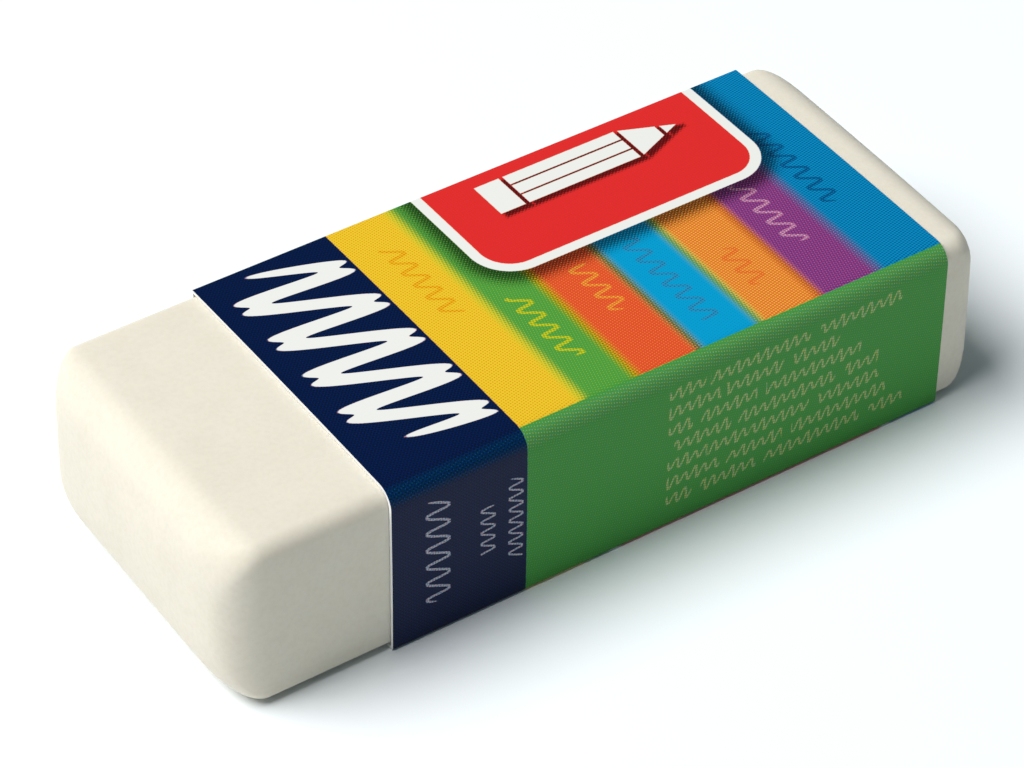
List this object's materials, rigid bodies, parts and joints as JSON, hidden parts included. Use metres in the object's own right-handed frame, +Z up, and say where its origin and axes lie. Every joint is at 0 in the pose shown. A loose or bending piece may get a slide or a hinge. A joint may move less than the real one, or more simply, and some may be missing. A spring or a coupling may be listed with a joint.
{
  "type": "rubber eraser",
  "caption": "Soft white pencil eraser: a round-cornered vinyl block in a snug printed card sleeve that slides along it and pulls off.",
  "frame": {"origin": "below the middle of the block, on the surface that the sleeve lies on", "axes": "+X along the block, away from its long bare end; +Y across it; +Z up, through its thickness"},
  "size_m": [0.0624, 0.0248, 0.0139],
  "materials": {
    "vinyl": "matte, slightly dusty",
    "card": "offset print on coated card, satin"
  },
  "bodies": {
    "block": {"eraser_block": "vinyl"},
    "sleeve": {"card_sleeve": "card"}
  },
  "joints": [
    {"name": "sleeve_slide", "type": "slide", "parent": "block", "child": "sleeve", "axis": [1, 0, 0], "range_m": [-0.059, 0.052]}
  ]
}
